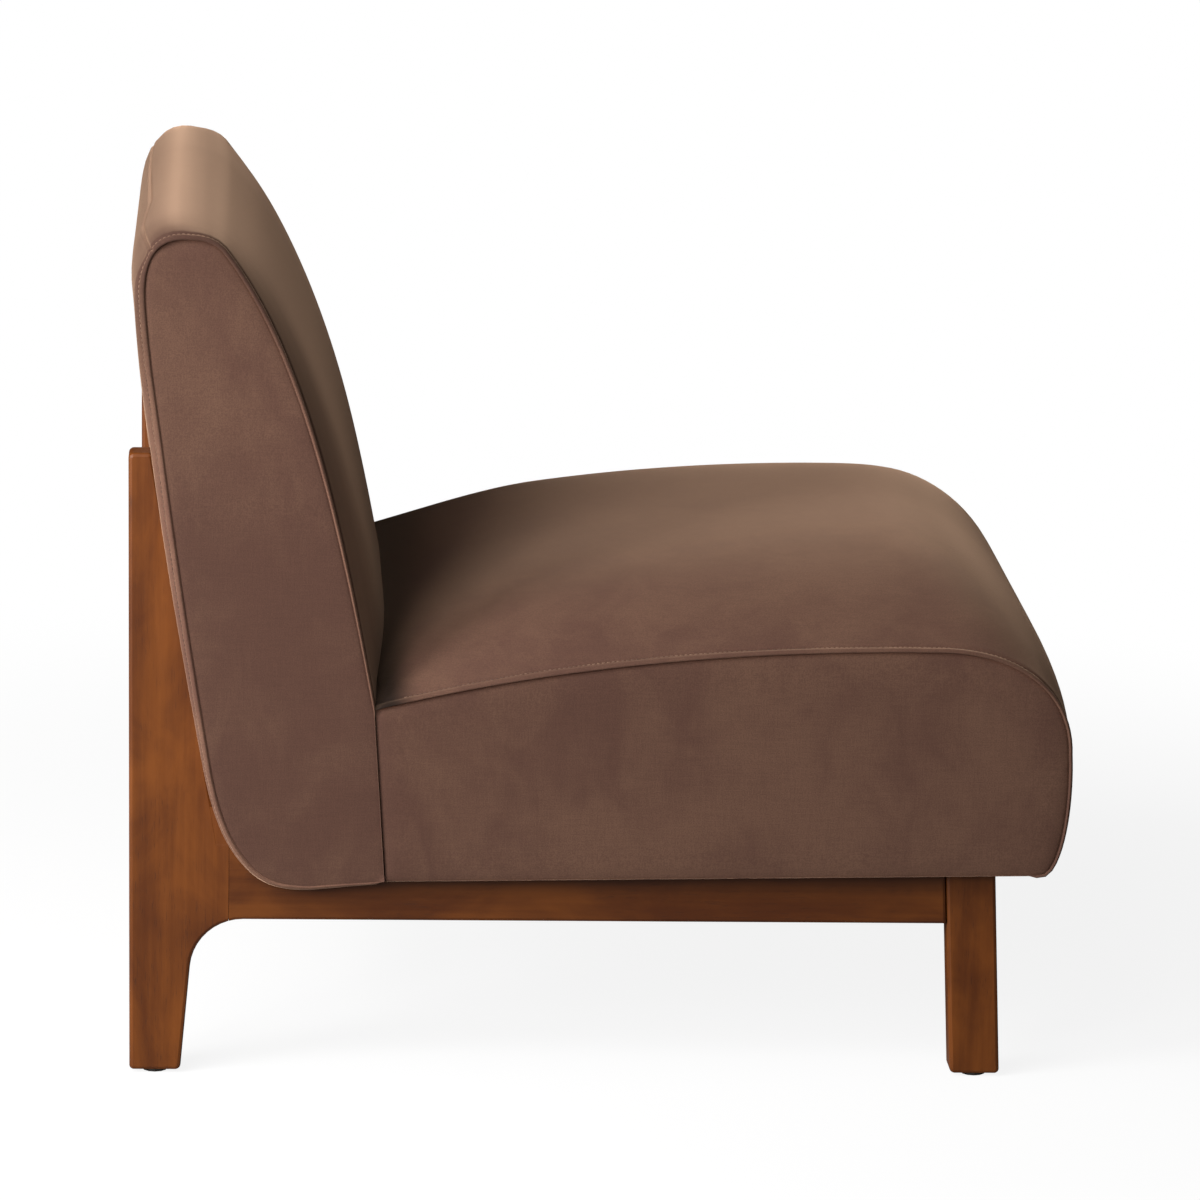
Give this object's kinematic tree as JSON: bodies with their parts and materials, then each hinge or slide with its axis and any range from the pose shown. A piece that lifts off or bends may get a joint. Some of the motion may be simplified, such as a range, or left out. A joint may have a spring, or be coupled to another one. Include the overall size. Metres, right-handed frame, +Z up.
{
  "type": "slipper chair",
  "caption": "Armless lounge chair: velvet body with a crowned seat and a leaning back, on stained wood side frames with wedge-shaped rear posts and raked front legs.",
  "frame": {"origin": "centre of the chair's bounding box on the floor, under the four glides", "axes": "+X to the front of the chair, +Y to the sitter's left, +Z up"},
  "size_m": [0.8248, 0.66, 0.749],
  "materials": {
    "stained_wood": "orange-brown stained hardwood under a satin lacquer, fine straight grain",
    "frame_wood": "bare sawn softwood",
    "velvet": "taupe-brown velvet with a short brushed nap",
    "foam": "cut polyurethane foam",
    "felt": "pressed recycled felt",
    "webbing": "woven elastic webbing",
    "lining": "black non-woven lining cloth",
    "spring_steel": "oiled spring wire",
    "zinc_steel": "bright zinc plate",
    "nylon": "moulded dark brown nylon"
  },
  "bodies": {
    "root": {"rear_post_left": "stained_wood", "rear_post_right": "stained_wood", "side_rail_left": "stained_wood", "side_rail_right": "stained_wood", "front_leg_left": "stained_wood", "front_leg_right": "stained_wood", "base_rear_rail": "stained_wood", "base_front_rail": "stained_wood", "base_block_rear_left": "frame_wood", "base_block_rear_right": "frame_wood", "base_block_front_left": "frame_wood", "base_block_front_right": "frame_wood", "foot_glide_rear_left": "nylon", "foot_glide_rear_right": "nylon", "foot_glide_front_left": "nylon", "foot_glide_front_right": "nylon", "seat_rail_left": "frame_wood", "seat_rail_right": "frame_wood", "seat_rail_front": "frame_wood", "seat_rail_rear": "frame_wood", "back_post_left": "frame_wood", "back_post_right": "frame_wood", "back_rail_bottom": "frame_wood", "back_rail_middle": "frame_wood", "back_rail_top": "frame_wood", "back_dowel_left": "frame_wood", "back_dowel_right": "frame_wood", "body_screw_1_left": "zinc_steel", "body_screw_1_right": "zinc_steel", "body_screw_2_left": "zinc_steel", "body_screw_2_right": "zinc_steel", "back_web_1": "webbing", "back_web_2": "webbing", "back_web_3": "webbing", "seat_spring_1": "spring_steel", "seat_spring_2": "spring_steel", "seat_spring_3": "spring_steel", "seat_spring_4": "spring_steel", "spring_clip_rear_1": "zinc_steel", "spring_clip_rear_2": "zinc_steel", "spring_clip_rear_3": "zinc_steel", "spring_clip_rear_4": "zinc_steel", "spring_clip_front_1": "zinc_steel", "spring_clip_front_2": "zinc_steel", "spring_clip_front_3": "zinc_steel", "spring_clip_front_4": "zinc_steel", "spring_pad": "felt", "seat_foam": "foam", "back_foam": "foam", "seat_top_panel": "velvet", "seat_side_panel_left": "velvet", "seat_side_panel_right": "velvet", "back_front_panel": "velvet", "back_side_panel_left": "velvet", "back_side_panel_right": "velvet", "back_rear_panel": "velvet", "dust_cover": "lining"}
  },
  "joints": []
}
